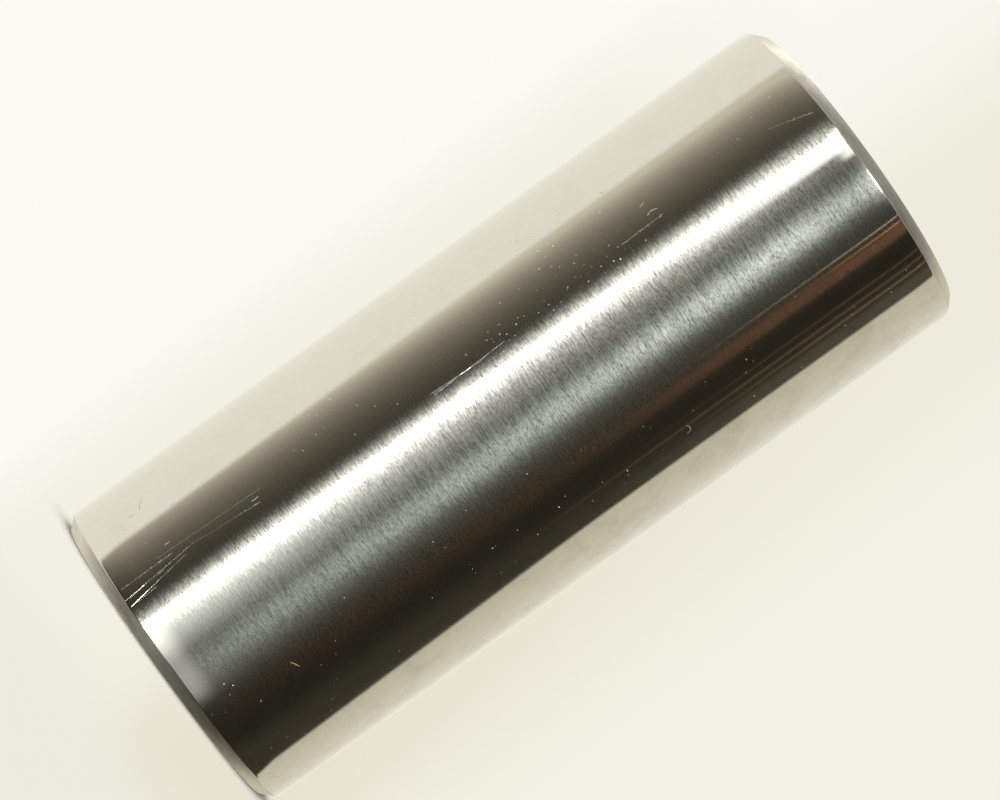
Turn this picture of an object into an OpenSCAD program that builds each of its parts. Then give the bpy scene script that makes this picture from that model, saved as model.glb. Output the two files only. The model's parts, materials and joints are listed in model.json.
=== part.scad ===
// Gudgeon pin (piston pin): one hollow steel cylinder, turned, hardened and ground.
// The pin stands on one end face. Its axis is +Z and the origin is the centre of that face.

/* [Journal] */
// Outside diameter of the ground journal
journal_d = 35; // [30:0.5:45]
// Overall length from end face to end face
pin_l = 85; // [60:0.5:110]

/* [Outer edges] */
// Leg of the 45 degree chamfer between the journal and each end face
outer_chamfer = 1.25; // [0.5:0.05:2]
// Length of the polished roll-off that runs from the chamfer into the straight journal
roll_off_l = 2.5; // [1:0.1:4]
// Radius of curvature of that roll-off, tangent to the straight journal
roll_off_r = 60; // [30:1:120]

/* [Bore] */
// Diameter of the through bore
bore_d = 16; // [10:0.5:20]
// Leg of the 45 degree chamfer at each mouth of the bore
bore_chamfer = 1; // [0.3:0.05:2]

/* [Hidden] */

journal_r = journal_d / 2;
bore_r = bore_d / 2;
// Height above an end face at which the journal becomes straight
straight_from = outer_chamfer + roll_off_l;
// Overlap of cutters past the faces they cut
cut = 1;
steel = [0.66, 0.66, 0.64];

$fn = 180;
// Segments of a full circle of the roll-off's large radius
roll_off_fn = 720;

// 45 degree corner at the origin, open towards +X and -Y of the section
module corner_cutter(leg) {
    polygon([[-leg, -cut], [-leg, 0], [0, leg], [cut, leg], [cut, -cut]]);
}

// What the roll-off takes off the journal's straight edge at the lower end
module roll_off_cutter() {
    difference() {
        translate([journal_r - outer_chamfer, -cut])
            square([outer_chamfer + cut, straight_from + cut]);
        translate([journal_r - roll_off_r, straight_from])
            circle(r = roll_off_r, $fn = roll_off_fn);
    }
}

// All that is cut from the lower end of the half section
module lower_end_cutters() {
    roll_off_cutter();
    translate([journal_r, 0])
        corner_cutter(outer_chamfer);
    translate([bore_r, 0])
        mirror([1, 0])
            corner_cutter(bore_chamfer);
}

// Half section of the wall: X is the radius and Y the height
module wall_section() {
    difference() {
        translate([bore_r, 0])
            square([journal_r - bore_r, pin_l]);
        lower_end_cutters();
        translate([0, pin_l])
            mirror([0, 1])
                lower_end_cutters();
    }
}

module gudgeon_pin() {
    color(steel)
        rotate_extrude()
            wall_section();
}

gudgeon_pin();
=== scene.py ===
import json
import math

import bpy
from mathutils import Matrix, Vector


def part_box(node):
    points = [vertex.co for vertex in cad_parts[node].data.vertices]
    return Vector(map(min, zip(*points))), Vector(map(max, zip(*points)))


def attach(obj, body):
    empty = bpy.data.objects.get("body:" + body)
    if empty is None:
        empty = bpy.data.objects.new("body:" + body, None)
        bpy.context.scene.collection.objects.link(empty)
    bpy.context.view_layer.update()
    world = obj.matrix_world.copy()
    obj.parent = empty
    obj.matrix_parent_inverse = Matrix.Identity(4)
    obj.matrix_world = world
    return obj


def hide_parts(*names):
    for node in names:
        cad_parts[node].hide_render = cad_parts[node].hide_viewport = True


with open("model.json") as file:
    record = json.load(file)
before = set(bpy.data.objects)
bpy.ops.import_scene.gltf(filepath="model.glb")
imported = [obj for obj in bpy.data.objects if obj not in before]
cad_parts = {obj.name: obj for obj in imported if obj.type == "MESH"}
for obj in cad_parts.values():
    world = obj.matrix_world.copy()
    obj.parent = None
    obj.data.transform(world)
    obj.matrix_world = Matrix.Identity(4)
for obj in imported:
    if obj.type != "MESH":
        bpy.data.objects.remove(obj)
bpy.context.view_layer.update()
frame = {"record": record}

# The pin
# A gudgeon pin is one hollow piece of case-hardened steel: turned from bar, bored,
# chamfered at the ends, hardened and then ground and polished round its outside.
# It stands here on one end face, with its axis along Z.
pin_low, pin_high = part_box("gudgeon_pin")
journal_radius = (pin_high.x - pin_low.x) / 2
pin_length = pin_high.z - pin_low.z
mounts = {mount["name"]: mount for mount in frame["record"]["mounts"]}
bore_radius = mounts["bore"]["dims"]["r_mm"] / 1000
bore_chamfer = (pin_length - mounts["bore"]["dims"]["length_mm"] / 1000) / 2
straight_from = (pin_length - mounts["outer_journal"]["dims"]["length_mm"] / 1000) / 2
outer_chamfer = 0.00125
roll_off_radius = 0.060
roll_off_steps = 12
journal_rings = 8
spin_steps = 360
arris_width = 0.00007
arris_segments = 3
sharp_from = math.radians(20)
merge_distance = 1e-6
halvings = 40


def roll_off_at(height):
    """Radius of the journal's polished roll-off at a height below its straight length."""
    return journal_radius - roll_off_radius + math.sqrt(
        roll_off_radius**2 - (straight_from - height) ** 2
    )


# Height at which the 45 degree chamfer cone meets the roll-off, found by halving
low, high = 0.0, straight_from
for halving in range(halvings):
    middle = (low + high) / 2
    if journal_radius - outer_chamfer + middle < roll_off_at(middle):
        low = middle
    else:
        high = middle
chamfer_top = (low + high) / 2

lower_outline = [
    (bore_radius, bore_chamfer),
    (bore_radius + bore_chamfer, 0.0),
    (journal_radius - outer_chamfer, 0.0),
]
for step in range(roll_off_steps + 1):
    height = chamfer_top + (straight_from - chamfer_top) * step / roll_off_steps
    lower_outline.append((roll_off_at(height), height))
straight_outline = [
    (journal_radius, straight_from + (pin_length - 2 * straight_from) * ring / journal_rings)
    for ring in range(1, journal_rings)
]
upper_outline = [(radius, pin_length - height) for radius, height in reversed(lower_outline)]
outline = lower_outline + straight_outline + upper_outline

# Draw the wall's section with one vertex that is extruded from corner to corner
bpy.ops.object.select_all(action="DESELECT")
bpy.ops.mesh.primitive_plane_add(size=outer_chamfer)
pin = bpy.context.object
pin.name = pin.data.name = "pin_body"
bpy.ops.object.mode_set(mode="EDIT")
bpy.ops.mesh.select_all(action="SELECT")
bpy.ops.mesh.merge(type="CENTER")
start_radius, start_height = outline[0]
bpy.ops.transform.translate(value=(start_radius, 0, start_height))
for (radius, height), (next_radius, next_height) in zip(outline, outline[1:]):
    bpy.ops.mesh.extrude_vertices_move(
        TRANSFORM_OT_translate={"value": (next_radius - radius, 0, next_height - height)}
    )
bpy.ops.mesh.select_all(action="SELECT")
bpy.ops.mesh.spin(steps=spin_steps, angle=math.tau, center=(0, 0, 0), axis=(0, 0, 1))
bpy.ops.mesh.select_all(action="SELECT")
bpy.ops.mesh.remove_doubles(threshold=merge_distance)

# Close the bore wall between the two mouth rings
bpy.ops.mesh.select_mode(type="EDGE")
bpy.ops.mesh.select_all(action="DESELECT")
bpy.ops.mesh.select_non_manifold()
bpy.ops.mesh.bridge_edge_loops()
bpy.ops.mesh.select_all(action="SELECT")
bpy.ops.mesh.normals_make_consistent(inside=False)
bpy.ops.object.mode_set(mode="OBJECT")

# Break the arrises by a few hundredths of a millimetre and smooth the round faces
arris = pin.modifiers.new("broken_arris", "BEVEL")
arris.width = arris_width
arris.segments = arris_segments
arris.limit_method = "ANGLE"
arris.angle_limit = sharp_from
bpy.ops.object.modifier_apply(modifier=arris.name)
bpy.ops.object.shade_smooth()
even_normals = pin.modifiers.new("even_normals", "WEIGHTED_NORMAL")
even_normals.weight = 100
bpy.ops.object.modifier_apply(modifier=even_normals.name)


def add_node(tree, kind, **settings):
    """A node of a shader tree with its settings, and its inputs given by name."""
    node = tree.nodes.new(kind)
    for name, value in settings.items():
        if hasattr(node, name):
            setattr(node, name, value)
        else:
            node.inputs[name].default_value = value
    return node


def math_node(tree, operation, *values):
    """The result socket of a Math node on sockets or numbers."""
    node = tree.nodes.new("ShaderNodeMath")
    node.operation = operation
    for place, value in enumerate(values):
        if isinstance(value, bpy.types.NodeSocket):
            tree.links.new(value, node.inputs[place])
        else:
            node.inputs[place].default_value = value
    return node.outputs[0]


def map_range(tree, value, from_min, from_max, to_min, to_max, kind="LINEAR"):
    """The result socket of a clamped Map Range node."""
    node = tree.nodes.new("ShaderNodeMapRange")
    node.interpolation_type = kind
    tree.links.new(value, node.inputs["Value"])
    node.inputs["From Min"].default_value = from_min
    node.inputs["From Max"].default_value = from_max
    node.inputs["To Min"].default_value = to_min
    node.inputs["To Max"].default_value = to_max
    return node.outputs["Result"]


def mix_colors(tree, factor, first, second):
    """The result socket of a colour Mix node; colours are sockets or RGBA values."""
    node = tree.nodes.new("ShaderNodeMix")
    node.data_type = "RGBA"
    for name, value in (("Factor_Float", factor), ("A_Color", first), ("B_Color", second)):
        socket = next(s for s in node.inputs if s.identifier == name)
        if isinstance(value, bpy.types.NodeSocket):
            tree.links.new(value, socket)
        else:
            socket.default_value = value
    return next(s for s in node.outputs if s.identifier == "Result_Color")


def mix_shaders(tree, factor, first, second):
    """The output socket of a Mix Shader node."""
    node = tree.nodes.new("ShaderNodeMixShader")
    tree.links.new(factor, node.inputs[0])
    tree.links.new(first, node.inputs[1])
    tree.links.new(second, node.inputs[2])
    return node.outputs[0]


# Fine lines that a wheel or a tool leaves round a turned or ground face.
# They run round the axis, so they are slow in the angle and fast along the section.
lines_group = bpy.data.node_groups.new("lines_round_the_axis", "ShaderNodeTree")
face = lines_group.interface
face.new_socket("Lines per Metre", in_out="INPUT", socket_type="NodeSocketFloat")
face.new_socket("Breaks per Turn", in_out="INPUT", socket_type="NodeSocketFloat")
face.new_socket("Lines", in_out="OUTPUT", socket_type="NodeSocketFloat")
group_in = lines_group.nodes.new("NodeGroupInput")
group_out = lines_group.nodes.new("NodeGroupOutput")
place = lines_group.nodes.new("ShaderNodeTexCoord")
parts = lines_group.nodes.new("ShaderNodeSeparateXYZ")
lines_group.links.new(place.outputs["Object"], parts.inputs[0])
flat = lines_group.nodes.new("ShaderNodeCombineXYZ")
lines_group.links.new(parts.outputs["X"], flat.inputs["X"])
lines_group.links.new(parts.outputs["Y"], flat.inputs["Y"])
radius_of = add_node(lines_group, "ShaderNodeVectorMath", operation="LENGTH")
lines_group.links.new(flat.outputs[0], radius_of.inputs[0])
around = add_node(lines_group, "ShaderNodeVectorMath", operation="NORMALIZE")
lines_group.links.new(flat.outputs[0], around.inputs[0])
spread = add_node(lines_group, "ShaderNodeVectorMath", operation="SCALE")
lines_group.links.new(around.outputs[0], spread.inputs[0])
lines_group.links.new(group_in.outputs["Breaks per Turn"], spread.inputs["Scale"])
spread_parts = lines_group.nodes.new("ShaderNodeSeparateXYZ")
lines_group.links.new(spread.outputs[0], spread_parts.inputs[0])
section = lines_group.nodes.new("ShaderNodeCombineXYZ")
lines_group.links.new(spread_parts.outputs["X"], section.inputs["X"])
lines_group.links.new(spread_parts.outputs["Y"], section.inputs["Y"])
lines_group.links.new(
    math_node(lines_group, "MULTIPLY", parts.outputs["Z"], group_in.outputs["Lines per Metre"]),
    section.inputs["Z"],
)
line_noise = add_node(
    lines_group, "ShaderNodeTexNoise", noise_dimensions="4D", Scale=1.0, Detail=1.0
)
lines_group.links.new(section.outputs[0], line_noise.inputs["Vector"])
lines_group.links.new(
    math_node(
        lines_group, "MULTIPLY", radius_of.outputs["Value"], group_in.outputs["Lines per Metre"]
    ),
    line_noise.inputs["W"],
)
lines_group.links.new(line_noise.outputs["Fac"], group_out.inputs["Lines"])


def lines_in(tree, lines_per_metre, breaks_per_turn):
    """The Lines output of the group above, placed in a material with its own values."""
    lines = add_node(tree, "ShaderNodeGroup", node_tree=lines_group)
    lines.inputs["Lines per Metre"].default_value = lines_per_metre
    lines.inputs["Breaks per Turn"].default_value = breaks_per_turn
    return lines.outputs["Lines"]


def new_steel(name, base_color, roughness, anisotropic):
    """A steel material with the lay of its surface round the pin's axis."""
    material = bpy.data.materials.new(name)
    material.use_nodes = True
    tree = material.node_tree
    shader = tree.nodes["Principled BSDF"]
    shader.inputs["Base Color"].default_value = (*base_color, 1)
    shader.inputs["Metallic"].default_value = 1
    shader.inputs["Roughness"].default_value = roughness
    shader.inputs["Anisotropic"].default_value = anisotropic
    shader.inputs["Anisotropic Rotation"].default_value = 0.25
    lay = add_node(tree, "ShaderNodeTangent", direction_type="RADIAL", axis="Z")
    tree.links.new(lay.outputs["Tangent"], shader.inputs["Tangent"])
    return material, tree, shader


def bump_by(tree, height):
    """The Normal output of a Bump node whose height is in metres."""
    bump = add_node(tree, "ShaderNodeBump", Strength=1.0, Distance=1.0)
    tree.links.new(height, bump.inputs["Height"])
    return bump.outputs["Normal"]


def bearing_in(tree, spot):
    """The bearing round the axis in degrees, from the front towards +X, of a Separate XYZ node."""
    return math_node(
        tree,
        "MULTIPLY",
        math_node(
            tree, "ARCTAN2", spot.outputs["X"], math_node(tree, "MULTIPLY", spot.outputs["Y"], -1.0)
        ),
        180 / math.pi,
    )


# A thin straight or bent mark on the journal, as a mask that is 1 along its middle.
# Spot and Middle are points of the journal in metres round and along it, Along and Across
# the mark's own directions there.
mark_half_width = 0.00007
mark_group = bpy.data.node_groups.new("thin_mark", "ShaderNodeTree")
face = mark_group.interface
for name in ("Spot", "Middle", "Along", "Across"):
    face.new_socket(name, in_out="INPUT", socket_type="NodeSocketVector")
for name in ("Half Length", "Bend"):
    face.new_socket(name, in_out="INPUT", socket_type="NodeSocketFloat")
face.new_socket("Mark", in_out="OUTPUT", socket_type="NodeSocketFloat")
group_in = mark_group.nodes.new("NodeGroupInput")
group_out = mark_group.nodes.new("NodeGroupOutput")
given = group_in.outputs
offset = add_node(mark_group, "ShaderNodeVectorMath", operation="SUBTRACT")
mark_group.links.new(given["Spot"], offset.inputs[0])
mark_group.links.new(given["Middle"], offset.inputs[1])
along = add_node(mark_group, "ShaderNodeVectorMath", operation="DOT_PRODUCT")
mark_group.links.new(offset.outputs[0], along.inputs[0])
mark_group.links.new(given["Along"], along.inputs[1])
across = add_node(mark_group, "ShaderNodeVectorMath", operation="DOT_PRODUCT")
mark_group.links.new(offset.outputs[0], across.inputs[0])
mark_group.links.new(given["Across"], across.inputs[1])
along, across = along.outputs["Value"], across.outputs["Value"]
bow = math_node(mark_group, "MULTIPLY", along, along)
off_mark = math_node(mark_group, "MULTIPLY_ADD", bow, given["Bend"], across)
mark_group.links.new(
    math_node(
        mark_group,
        "MULTIPLY",
        map_range(
            mark_group,
            math_node(mark_group, "ABSOLUTE", off_mark),
            0.0,
            mark_half_width,
            1.0,
            0.0,
            "SMOOTHSTEP",
        ),
        math_node(mark_group, "COMPARE", along, 0.0, given["Half Length"]),
    ),
    group_out.inputs["Mark"],
)


def mark_in(tree, spot, mark_bearing, mark_height, turn, half_length, bend=0.0):
    """The Mark output of the group above, for a mark placed by bearing and height."""
    mark = add_node(tree, "ShaderNodeGroup", node_tree=mark_group)
    cosine, sine = math.cos(math.radians(turn)), math.sin(math.radians(turn))
    tree.links.new(spot, mark.inputs["Spot"])
    mark.inputs["Middle"].default_value = (
        journal_radius * math.radians(mark_bearing),
        mark_height,
        0,
    )
    mark.inputs["Along"].default_value = (sine, cosine, 0)
    mark.inputs["Across"].default_value = (cosine, -sine, 0)
    mark.inputs["Half Length"].default_value = half_length
    mark.inputs["Bend"].default_value = -bend
    return mark.outputs["Mark"]


# Ground journal: a bright mirror with fine grinding lines that scatter strong light,
# less so at a grazing angle, where a fine finish looks smooth
clean_steel = (0.71, 0.70, 0.66, 1)
smeared_steel = (0.61, 0.60, 0.555, 1)
lint_straw = (0.66, 0.56, 0.40, 1)
mirror_roughness = 0.07
lint_roughness = 0.8
ground, tree, shader = new_steel("ground_journal", (0.70, 0.69, 0.65), mirror_roughness, 0.3)
scatter = add_node(
    tree, "ShaderNodeBsdfAnisotropic", distribution="BECKMANN", Roughness=0.305, Anisotropy=0.35
)
tree.links.new(tree.nodes["Tangent"].outputs["Tangent"], scatter.inputs["Tangent"])
place = tree.nodes.new("ShaderNodeTexCoord")
spot = tree.nodes.new("ShaderNodeSeparateXYZ")
tree.links.new(place.outputs["Object"], spot.inputs[0])
height = spot.outputs["Z"]
bearing = bearing_in(tree, spot)
arc = math_node(tree, "MULTIPLY", bearing, journal_radius * math.pi / 180)
unrolled = tree.nodes.new("ShaderNodeCombineXYZ")
tree.links.new(arc, unrolled.inputs["X"])
tree.links.new(height, unrolled.inputs["Y"])

# Each grinding line is a row of straight dashes round the pin, some rougher than others,
# with a shorter grain over them
line_width = 0.00010
dash_length = 0.0011
grain_length = 0.00022
row = math_node(tree, "FLOOR", math_node(tree, "DIVIDE", height, line_width))
row_start = add_node(tree, "ShaderNodeTexWhiteNoise", noise_dimensions="1D")
tree.links.new(row, row_start.inputs["W"])


def chance_in(tree, row, dash):
    """A random value for one dash of one row."""
    pair = tree.nodes.new("ShaderNodeCombineXYZ")
    tree.links.new(row, pair.inputs["X"])
    tree.links.new(dash, pair.inputs["Y"])
    chance = add_node(tree, "ShaderNodeTexWhiteNoise", noise_dimensions="2D")
    tree.links.new(pair.outputs[0], chance.inputs["Vector"])
    return chance.outputs["Value"]


def dashes_in(tree, length):
    """Random values along the rows that run from one dash to the next."""
    run = math_node(tree, "ADD", math_node(tree, "DIVIDE", arc, length), row_start.outputs["Value"])
    dash = math_node(tree, "FLOOR", run)
    dashes = tree.nodes.new("ShaderNodeMix")
    tree.links.new(math_node(tree, "FRACT", run), dashes.inputs[0])
    tree.links.new(chance_in(tree, row, dash), dashes.inputs[2])
    tree.links.new(chance_in(tree, row, math_node(tree, "ADD", dash, 1.0)), dashes.inputs[3])
    return dashes.outputs[0]


fine_lines = math_node(
    tree, "MULTIPLY_ADD", dashes_in(tree, grain_length), 1.4, dashes_in(tree, dash_length)
)
fine_lines = map_range(tree, fine_lines, 0.45, 1.95, 0.25, 0.75)
bands = add_node(tree, "ShaderNodeTexNoise", noise_dimensions="1D", Scale=4000.0, Detail=1.0)
tree.links.new(height, bands.inputs["W"])
broad_lines = map_range(tree, bands.outputs["Fac"], 0.3, 0.7, 0.95, 1.05)
from_middle = math_node(tree, "ABSOLUTE", math_node(tree, "SUBTRACT", height, pin_length / 2))
polish_from, polish_to = 0.0300, 0.0400
polish = map_range(tree, from_middle, polish_from, polish_to, 1.0, 0.6, "SMOOTHSTEP")
facing = add_node(tree, "ShaderNodeLayerWeight", Blend=0.5)
share = math_node(
    tree,
    "MULTIPLY",
    math_node(tree, "MULTIPLY", fine_lines, broad_lines),
    math_node(
        tree,
        "MULTIPLY",
        map_range(tree, facing.outputs["Facing"], 0.12, 0.28, 1.0, 0.1),
        polish,
    ),
)

# Faint smears, as of old oil wiped off, mostly on the right of the front
clouds = add_node(
    tree, "ShaderNodeTexNoise", Scale=280.0, Detail=6.0, Roughness=0.72, Distortion=0.6
)
tree.links.new(place.outputs["Object"], clouds.inputs["Vector"])
smeared = math_node(
    tree,
    "MULTIPLY",
    map_range(tree, clouds.outputs["Fac"], 0.46, 0.70, 0.0, 1.0),
    map_range(tree, bearing, 10.0, 45.0, 0.22, 1.0),
)
journal_color = mix_colors(tree, smeared, clean_steel, smeared_steel)
tree.links.new(journal_color, scatter.inputs["Color"])

# Specks: tiny pits, thicker in some places than in others and most of all beside the highlight
pits_per_metre = 1600.0
pit_relief = 0.00035
pits = add_node(tree, "ShaderNodeTexVoronoi", voronoi_dimensions="2D", Scale=pits_per_metre)
tree.links.new(unrolled.outputs[0], pits.inputs["Vector"])
pit_chance = tree.nodes.new("ShaderNodeSeparateColor")
tree.links.new(pits.outputs["Color"], pit_chance.inputs[0])
clusters = add_node(tree, "ShaderNodeTexNoise", Scale=70.0, Detail=2.0)
tree.links.new(place.outputs["Object"], clusters.inputs["Vector"])
pit_share = map_range(tree, clusters.outputs["Fac"], 0.42, 0.65, 0.012, 0.08)

# Three swarms of them: bearing and half width, height and half height, then the share
for swarm_bearing, half_width, swarm_height, half_height, swarm_share in (
    (-19.0, 8.0, 0.054, 0.013, 0.85),
    (-36.0, 16.0, 0.054, 0.016, 0.13),
    (-55.0, 13.0, 0.049, 0.010, 0.5),
):
    round_off = math_node(tree, "ABSOLUTE", math_node(tree, "SUBTRACT", bearing, swarm_bearing))
    height_off = math_node(tree, "ABSOLUTE", math_node(tree, "SUBTRACT", height, swarm_height))
    swarm = math_node(
        tree,
        "MULTIPLY",
        map_range(tree, round_off, half_width / 2, half_width, swarm_share, 0.0),
        map_range(tree, height_off, half_height / 2, half_height, 1.0, 0.0),
    )
    pit_share = math_node(tree, "MAXIMUM", pit_share, swarm)
pitted = math_node(tree, "LESS_THAN", pit_chance.outputs["Red"], pit_share)
pit_size = math_node(tree, "POWER", pit_chance.outputs["Green"], 2.0)
pit_radius = map_range(tree, pit_size, 0.0, 1.0, 0.03, 0.135)
pit_depth = math_node(
    tree, "MAXIMUM", math_node(tree, "SUBTRACT", pit_radius, pits.outputs["Distance"]), 0.0
)
relief = math_node(
    tree, "MULTIPLY", math_node(tree, "MULTIPLY", pit_depth, pitted), -pit_relief
)

# Scratches near the ends and beside the highlight: bearing, height, turn and half length,
# then depth
for *scratch_place, depth in (
    (-28.0, 0.0045, 0.0, 0.0030, 0.0000104),
    (-25.2, 0.0058, -5.9, 0.0041, 0.0000086),
    (-22.9, 0.0051, -9.1, 0.0037, 0.0000070),
    (-24.3, 0.0036, -4.0, 0.0024, 0.0000080),
    (-21.2, 0.0030, -3.0, 0.0016, 0.0000055),
    (-29.2, 0.0121, 1.6, 0.0060, 0.0000088),
    (-25.5, 0.0137, 4.9, 0.0037, 0.0000070),
    (-20.0, 0.0398, 2.3, 0.0031, 0.000004),
    (-19.9, 0.0412, -1.9, 0.0044, 0.000004),
    (-24.2, 0.0628, -1.7, 0.0025, 0.0000072),
    (-25.0, 0.0807, 18.0, 0.0023, 0.0000072),
):
    scratch = mark_in(tree, unrolled.outputs[0], *scratch_place)
    relief = math_node(tree, "MULTIPLY_ADD", scratch, -depth, relief)

# Bits of lint: bearing, height, turn, half length and bend
lint = None
for fibre in (
    (-53.3, 0.0075, -61.0, 0.0008, 150.0),
    (-50.9, 0.0063, 9.0, 0.0003, 600.0),
    (-43.6, 0.0102, 23.0, 0.0002, 0.0),
    (-32.0, 0.0077, 0.0, 0.0003, 300.0),
    (-26.4, 0.0171, 0.0, 0.0004, -300.0),
    (-45.6, 0.0619, 45.0, 0.0002, 0.0),
    (-31.6, 0.0642, -19.0, 0.0003, 0.0),
    (-27.8, 0.0646, 0.0, 0.0006, 600.0),
    (-4.3, 0.0633, 55.0, 0.0005, 400.0),
    (25.1, 0.0110, 63.0, 0.0005, 200.0),
    (40.1, 0.0555, -70.0, 0.0005, -1600.0),
):
    piece = mark_in(tree, unrolled.outputs[0], *fibre)
    lint = piece if lint is None else math_node(tree, "MAXIMUM", lint, piece)
relief_normal = bump_by(tree, relief)
tree.links.new(relief_normal, shader.inputs["Normal"])
tree.links.new(relief_normal, scatter.inputs["Normal"])
lint_cover = map_range(tree, lint, 0.1, 0.5, 0.0, 1.0)
steel_cover = math_node(tree, "SUBTRACT", 1.0, lint_cover)
tree.links.new(
    mix_colors(tree, lint_cover, journal_color, lint_straw), shader.inputs["Base Color"]
)
tree.links.new(steel_cover, shader.inputs["Metallic"])
tree.links.new(
    map_range(tree, lint_cover, 0.0, 1.0, mirror_roughness, lint_roughness),
    shader.inputs["Roughness"],
)
scatter_share = math_node(tree, "MULTIPLY", share, steel_cover)
tree.links.new(
    mix_shaders(tree, scatter_share, shader.outputs[0], scatter.outputs[0]),
    tree.nodes["Material Output"].inputs["Surface"],
)

# Turned chamfers and end faces: dull, with coarser tool lines, and glossier at a grazing
# angle, where the lines show less
dark_tool_line = (0.275, 0.262, 0.229, 1)
light_tool_line = (0.375, 0.358, 0.314, 1)
grazing_steel = (0.74, 0.72, 0.65, 1)
tool_lines_per_metre = 9000
tool_line_depth = 0.000008
turned, tree, shader = new_steel("turned_end", (0.33, 0.31, 0.27), 0.5, 0.8)
tool_lines = lines_in(tree, tool_lines_per_metre, 12)
line_shade = map_range(tree, tool_lines, 0.3, 0.7, 0.0, 1.0)
tree.links.new(
    mix_colors(tree, line_shade, dark_tool_line, light_tool_line), shader.inputs["Base Color"]
)
gloss = add_node(
    tree,
    "ShaderNodeBsdfAnisotropic",
    distribution="MULTI_GGX",
    Color=grazing_steel,
    Anisotropy=0.47,
)
tree.links.new(tree.nodes["Tangent"].outputs["Tangent"], gloss.inputs["Tangent"])
tool_roughness = map_range(tree, tool_lines, 0.3, 0.7, 0.56, 0.42)
tool_normal = bump_by(tree, math_node(tree, "MULTIPLY", tool_lines, tool_line_depth))
for face_shader in (shader, gloss):
    tree.links.new(tool_roughness, face_shader.inputs["Roughness"])
    tree.links.new(tool_normal, face_shader.inputs["Normal"])
facing = add_node(tree, "ShaderNodeLayerWeight", Blend=0.5)
grazing = map_range(tree, facing.outputs["Facing"], 0.42, 0.70, 0.0, 1.0)
tree.links.new(
    mix_shaders(tree, grazing, shader.outputs[0], gloss.outputs[0]),
    tree.nodes["Material Output"].inputs["Surface"],
)

# Bore wall: dull grey, as hardened, with the rings of the drill
dark_ring = (0.22, 0.205, 0.18, 1)
light_ring = (0.36, 0.35, 0.325, 1)
drill_rings_per_metre = 2600
drill_ring_depth = 0.00003
bored, tree, shader = new_steel("hardened_bore", (0.30, 0.29, 0.27), 0.5, 0.3)
drill_rings = lines_in(tree, drill_rings_per_metre, 3)
ring_shade = map_range(tree, drill_rings, 0.3, 0.7, 0.0, 1.0)
tree.links.new(mix_colors(tree, ring_shade, dark_ring, light_ring), shader.inputs["Base Color"])
tree.links.new(
    bump_by(tree, math_node(tree, "MULTIPLY", drill_rings, drill_ring_depth)),
    shader.inputs["Normal"],
)

# Each face gets the finish of its place: bore wall, turned end or ground journal
for material in (ground, turned, bored):
    pin.data.materials.append(material)
journal_face, turned_face, bore_face = range(3)
for polygon in pin.data.polygons:
    radius = math.hypot(polygon.center.x, polygon.center.y)
    height = min(polygon.center.z, pin_length - polygon.center.z)
    if radius < bore_radius + bore_chamfer / 4:
        polygon.material_index = bore_face
    elif height < chamfer_top:
        polygon.material_index = turned_face
    else:
        polygon.material_index = journal_face

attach(pin, "root")
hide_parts("gudgeon_pin")

# The floor
# A plain pale round that the pin stands on. It fades out into the pale surroundings,
# and mirror rays pass it, so the pin shows only the room round it.
floor_radius = 0.7
fade_from, fade_to = 0.0158, 0.0215
pale_paper = (0.95, 0.935, 0.87, 1)
bpy.ops.object.select_all(action="DESELECT")
bpy.ops.mesh.primitive_circle_add(vertices=96, radius=floor_radius, fill_type="NGON")
floor = bpy.context.object
floor.name = "floor"
floor_paper = bpy.data.materials.new("floor_paper")
floor_paper.use_nodes = True
tree = floor_paper.node_tree
shader = tree.nodes["Principled BSDF"]
shader.inputs["Base Color"].default_value = pale_paper
shader.inputs["Roughness"].default_value = 0.9
shader.inputs["Specular IOR Level"].default_value = 0
place = tree.nodes.new("ShaderNodeTexCoord")
distance = add_node(tree, "ShaderNodeVectorMath", operation="LENGTH")
tree.links.new(place.outputs["Object"], distance.inputs[0])
fade = map_range(tree, distance.outputs["Value"], fade_from, fade_to, 1, 0, "SMOOTHSTEP")
clear = tree.nodes.new("ShaderNodeBsdfTransparent")
tree.links.new(
    mix_shaders(tree, fade, clear.outputs[0], shader.outputs[0]),
    tree.nodes["Material Output"].inputs["Surface"],
)
floor.data.materials.append(floor_paper)
floor.visible_glossy = False

# The light
# A pale sheet stands round the back, a shaded card on the left and a dark room in front,
# with a narrow strip lamp, a soft fill lamp and a soft lamp overhead.
world = bpy.data.worlds.new("studio")
bpy.context.scene.world = world
world.use_nodes = True
tree = world.node_tree
tree.nodes.remove(tree.nodes["Background"])
pale_sheet = (1.0, 0.98, 0.865, 1)
sheet_near_edge = (0.68, 0.63, 0.49, 1)
shaded_card = (0.59, 0.55, 0.43, 1)
dark_room = (0.025, 0.022, 0.0148, 1)
overhead_light = (0.75, 0.74, 0.69, 1)
backdrop_left = (0.975, 0.97, 0.905, 1)
backdrop_right = (0.90, 0.885, 0.79, 1)
# Colours of the painted soft shadows of the pin on the backdrop, beside it and below it
backdrop_painted_shadow_beside = (0.79, 0.765, 0.64, 1)
backdrop_painted_shadow_below = (0.84, 0.825, 0.735, 1)
place = tree.nodes.new("ShaderNodeTexCoord")
ray = tree.nodes.new("ShaderNodeSeparateXYZ")
tree.links.new(place.outputs["Generated"], ray.inputs[0])
turn = bearing_in(tree, ray)
lift = math_node(
    tree, "MULTIPLY", math_node(tree, "ARCSINE", ray.outputs["Z"]), 180 / math.pi
)


def scaled(tree, color, factor):
    """A plain colour times a factor socket."""
    node = add_node(tree, "ShaderNodeVectorMath", operation="SCALE")
    node.inputs[0].default_value = color[:3]
    tree.links.new(factor, node.inputs["Scale"])
    return node.outputs[0]


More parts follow.
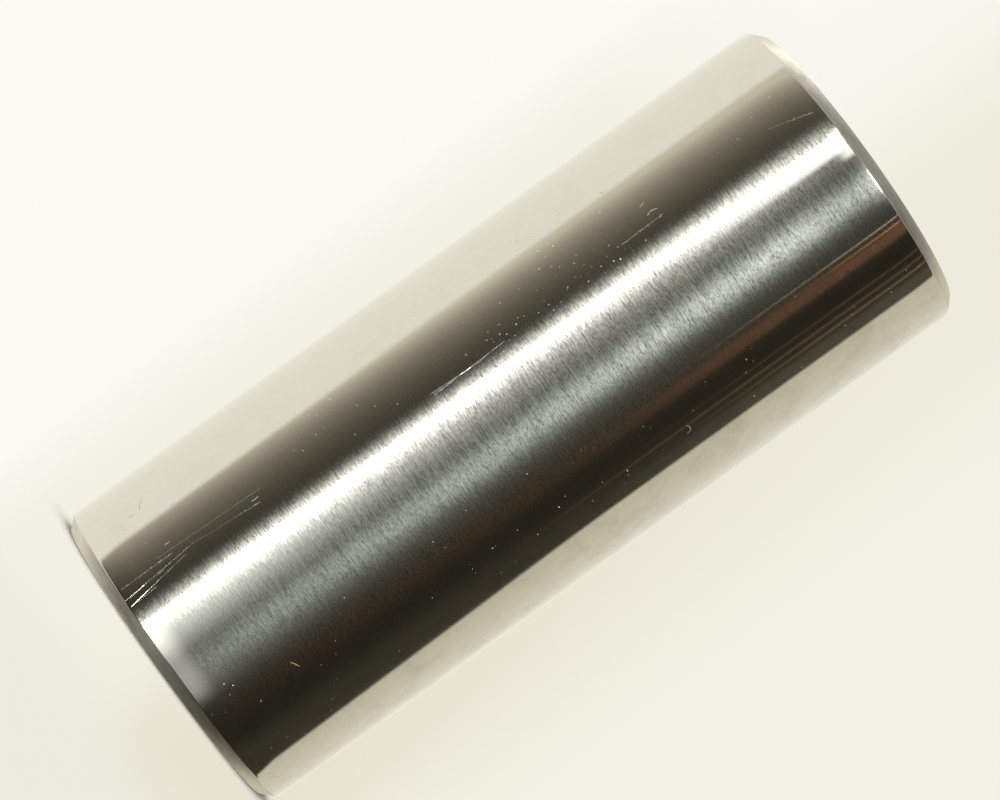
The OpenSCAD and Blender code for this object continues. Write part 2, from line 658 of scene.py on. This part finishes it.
def added(tree, first, second):
    """The sum of two colours; the first may be a plain value."""
    node = add_node(tree, "ShaderNodeVectorMath", operation="ADD")
    if isinstance(first, bpy.types.NodeSocket):
        tree.links.new(first, node.inputs[0])
    else:
        node.inputs[0].default_value = first[:3]
    tree.links.new(second, node.inputs[1])
    return node.outputs[0]


# The card and the sheets lean, so their edges are slanted in the pin's mirror image
eye_lift = 1.7
raised = math_node(tree, "SUBTRACT", lift, eye_lift)
slant = math_node(
    tree,
    "MINIMUM",
    math_node(tree, "MULTIPLY", raised, 1.2),
    math_node(tree, "MULTIPLY", raised, 0.6),
)
slanted = math_node(tree, "SUBTRACT", turn, slant)
fall = math_node(
    tree, "EXPONENT", math_node(tree, "DIVIDE", math_node(tree, "ADD", slanted, 84.0), -15.5)
)
fall = math_node(tree, "MINIMUM", fall, 1.2)
card = added(tree, dark_room, scaled(tree, shaded_card, fall))
card_slant = math_node(tree, "MINIMUM", math_node(tree, "MULTIPLY", raised, 0.45), 0.0)
card_turn = math_node(tree, "ADD", turn, card_slant)
room = mix_colors(
    tree, map_range(tree, card_turn, -92.5, -87, 0, 1, "SMOOTHSTEP"), pale_sheet, card
)
right_sheet = mix_colors(
    tree, map_range(tree, turn, 105, 180, 0, 1), sheet_near_edge, pale_sheet
)
sheet_slant = math_node(tree, "MINIMUM", math_node(tree, "MULTIPLY", raised, 1.5), 0.0)
sheet_slant = math_node(tree, "MAXIMUM", sheet_slant, -16.0)
edge_turn = math_node(tree, "ADD", turn, sheet_slant)
around_pin = mix_colors(
    tree, map_range(tree, edge_turn, 97.6, 100.8, 0, 1, "SMOOTHSTEP"), room, right_sheet
)

# The strip lamp leans too, and the bench is lit more on one side of it
lean = math_node(
    tree,
    "MINIMUM",
    math_node(tree, "MULTIPLY", math_node(tree, "SUBTRACT", lift, 2.7), 1.1),
    math_node(tree, "MULTIPLY", math_node(tree, "SUBTRACT", 16.0, lift), 0.8),
)
lean = math_node(tree, "MAXIMUM", lean, 0.0)
leaned = math_node(tree, "SUBTRACT", turn, lean)
past_strip = math_node(tree, "ADD", turn, 26.0)
past_strip = math_node(tree, "MAXIMUM", past_strip, math_node(tree, "MULTIPLY", past_strip, -8.0))


def with_panel(
    below, name, azimuth, half_width, side_edge, height, half_height, end_edge, color, side=turn
):
    """The surroundings with one more soft-edged thing, placed by angles in degrees."""
    across = math_node(tree, "ABSOLUTE", math_node(tree, "SUBTRACT", side, azimuth))
    along = math_node(tree, "ABSOLUTE", math_node(tree, "SUBTRACT", lift, height))
    mask = math_node(
        tree,
        "MULTIPLY",
        map_range(tree, across, half_width, half_width + side_edge, 1, 0, "SMOOTHSTEP"),
        map_range(tree, along, half_height, half_height + end_edge, 1, 0, "SMOOTHSTEP"),
    )
    mask.node.label = name
    return added(tree, below, scaled(tree, color, mask))


# Things in the room: azimuth, half width and side edge, then height, half height and end
# edge, then colour
around_pin = with_panel(around_pin, "front wall", 10, 12, 30, 0, 60, 20, (0.054, 0.0605, 0.054))
around_pin = with_panel(around_pin, "right wall", 94, 4, 20, 0, 60, 20, (0.022, 0.02, 0.014))
front_side = around_pin
for thing in (
    ("bench top", 8, 16, 16, -10, 3.0, 4.4, (0.45, 0.45, 0.42)),
    ("shelf", 8, 8, 20, 15, 1.0, 4.0, (0.3, 0.3, 0.28)),
    ("lamp head", -18, 8, 4, 13.5, 2.5, 2.5, (1.7, 1.7, 1.6)),
    ("fill lamp", 15.2, 2, 9, 25, 6.5, 5, (9.4, 10.3, 10.2)),
    ("lit bench", 0, 4, 28, -25, 15, 13, (1.6, 1.65, 1.57), past_strip),
    ("strip lamp, warm side", -28.1, 0.5, 0.6, -5, 17, 8, (14.7, 14.0, 12.5), leaned),
    ("strip lamp, cool side", -26.7, 0.5, 0.6, -5, 17, 8, (13.3, 14.0, 14.0), leaned),
    ("strip lamp, flank", -19, 3, 4, 8, 1.2, 2.2, (1.5, 1.55, 1.55)),
):
    front_side = with_panel(front_side, *thing)
right_side = around_pin
for thing in (
    ("wooden board", 51, 3, 5, 14, 8, 8, (0.024, 0.014, 0.008)),
    ("board's lit part", 51.5, 1.5, 4.0, 12, 6, 4, (0.125, 0.056, 0.031)),
    ("pale rod", 42.3, 0.12, 0.35, 12, 4.5, 4, (0.85, 0.77, 0.57)),
    ("copper rod", 46.4, 0.12, 0.35, 12, 4.5, 2, (1.15, 0.47, 0.23)),
    ("first dim rail", 71.5, 0.4, 0.8, 12, 5, 5, (0.065, 0.05, 0.028)),
    ("second dim rail", 78, 0.5, 0.8, 12, 7, 5, (0.075, 0.056, 0.032)),
    ("third dim rail", 83.8, 0.4, 0.9, 12, 5, 4, (0.14, 0.10, 0.06)),
    ("wall behind the rails", 93, 2, 6, 12, 6, 5, (0.04, 0.036, 0.026)),
):
    right_side = with_panel(right_side, *thing)
overhead = map_range(tree, ray.outputs["Z"], 0.5, 0.85, 0, 1, "SMOOTHSTEP")

# The pale backdrop that the camera sees, a little darker on the right, with a painted soft shadow
# of the pin beside it and below it
backdrop = mix_colors(
    tree,
    map_range(tree, ray.outputs["X"], -0.08, 0.06, 0, 1, "SMOOTHSTEP"),
    backdrop_left,
    backdrop_right,
)
# Painted soft shadow of the pin on the backdrop beside it, stronger on its right side
painted_shadow_beside_pin = math_node(tree, "ABSOLUTE", math_node(tree, "SUBTRACT", ray.outputs["X"], 0.03))
painted_shadow_beside_pin = math_node(
    tree,
    "MULTIPLY",
    map_range(tree, painted_shadow_beside_pin, 0.008, 0.05, 1, 0, "SMOOTHSTEP"),
    map_range(tree, ray.outputs["Z"], -0.05, 0.12, 1, 0.5),
)
painted_shadow_both_sides = math_node(
    tree,
    "MULTIPLY",
    map_range(
        tree, math_node(tree, "ABSOLUTE", ray.outputs["X"]), 0.042, 0.064, 0.4, 0, "SMOOTHSTEP"
    ),
    map_range(tree, ray.outputs["Z"], 0.09, 0.14, 1, 0),
)
painted_shadow_beside_pin = math_node(tree, "MAXIMUM", painted_shadow_beside_pin, painted_shadow_both_sides)
backdrop = mix_colors(tree, painted_shadow_beside_pin, backdrop, backdrop_painted_shadow_beside)
# Painted shadow on the backdrop below the pin's lower end
painted_shadow_below_pin = map_range(tree, ray.outputs["Z"], -0.076, -0.098, 0, 1, "SMOOTHSTEP")
backdrop = mix_colors(tree, painted_shadow_below_pin, backdrop, backdrop_painted_shadow_below)


def light_of(color):
    """The shader output of a Background node with a colour socket or value."""
    node = tree.nodes.new("ShaderNodeBackground")
    if isinstance(color, bpy.types.NodeSocket):
        tree.links.new(color, node.inputs["Color"])
    else:
        node.inputs["Color"].default_value = color
    return node.outputs[0]


to_the_right = math_node(tree, "GREATER_THAN", turn, 41.0)
room_light = mix_shaders(tree, to_the_right, light_of(front_side), light_of(right_side))
from_front = math_node(tree, "ABSOLUTE", math_node(tree, "SUBTRACT", turn, 9.0))
to_the_back = math_node(tree, "GREATER_THAN", from_front, 111.0)
room_light = mix_shaders(tree, to_the_back, room_light, light_of(around_pin))
room_light = mix_shaders(tree, overhead, room_light, light_of(overhead_light))
path = tree.nodes.new("ShaderNodeLightPath")
room_light = mix_shaders(tree, path.outputs["Is Camera Ray"], room_light, light_of(backdrop))
tree.links.new(room_light, tree.nodes["World Output"].inputs["Surface"])

# A soft square lamp behind and above the pin, turned to its middle
lamp_side = 0.8
lamp_radiance = 2.0
lamp_azimuth = math.radians(-150)
lamp_distance, lamp_height = 0.9, 1.1
lamp_data = bpy.data.lights.new("top_lamp", "AREA")
lamp_data.shape = "RECTANGLE"
lamp_data.size = lamp_data.size_y = lamp_side
lamp_data.energy = lamp_radiance * math.pi * lamp_side * lamp_side
lamp_data.color = (1.0, 0.99, 0.95)
lamp = bpy.data.objects.new("top_lamp", lamp_data)
bpy.context.scene.collection.objects.link(lamp)
lamp.location = (
    lamp_distance * math.sin(lamp_azimuth),
    -lamp_distance * math.cos(lamp_azimuth),
    lamp_height,
)
aim = Vector((0, 0, pin_length / 2)) - lamp.location
lamp.rotation_euler = aim.to_track_quat("-Z", "Y").to_euler()
lamp.visible_camera = False

# The camera
# It looks at the pin from the front with a long lens and is rolled on its side.
lens = 155.1
camera_place = Vector((-0.0007, -0.4326, 0.02947))
look_up, pan_left, roll = 1.714, 0.148, 54.368
camera_data = bpy.data.cameras.new("camera")
camera_data.sensor_width = 36
camera_data.lens = lens
camera_data.clip_start = 0.01
camera_data.clip_end = 20
camera = bpy.data.objects.new("camera", camera_data)
bpy.context.scene.collection.objects.link(camera)
camera.matrix_world = (
    Matrix.Translation(camera_place)
    @ Matrix.Rotation(math.radians(pan_left), 4, "Z")
    @ Matrix.Rotation(math.radians(90 + look_up), 4, "X")
    @ Matrix.Rotation(math.radians(roll), 4, "Z")
)
bpy.context.scene.camera = camera
bpy.context.scene.view_settings.view_transform = "Standard"
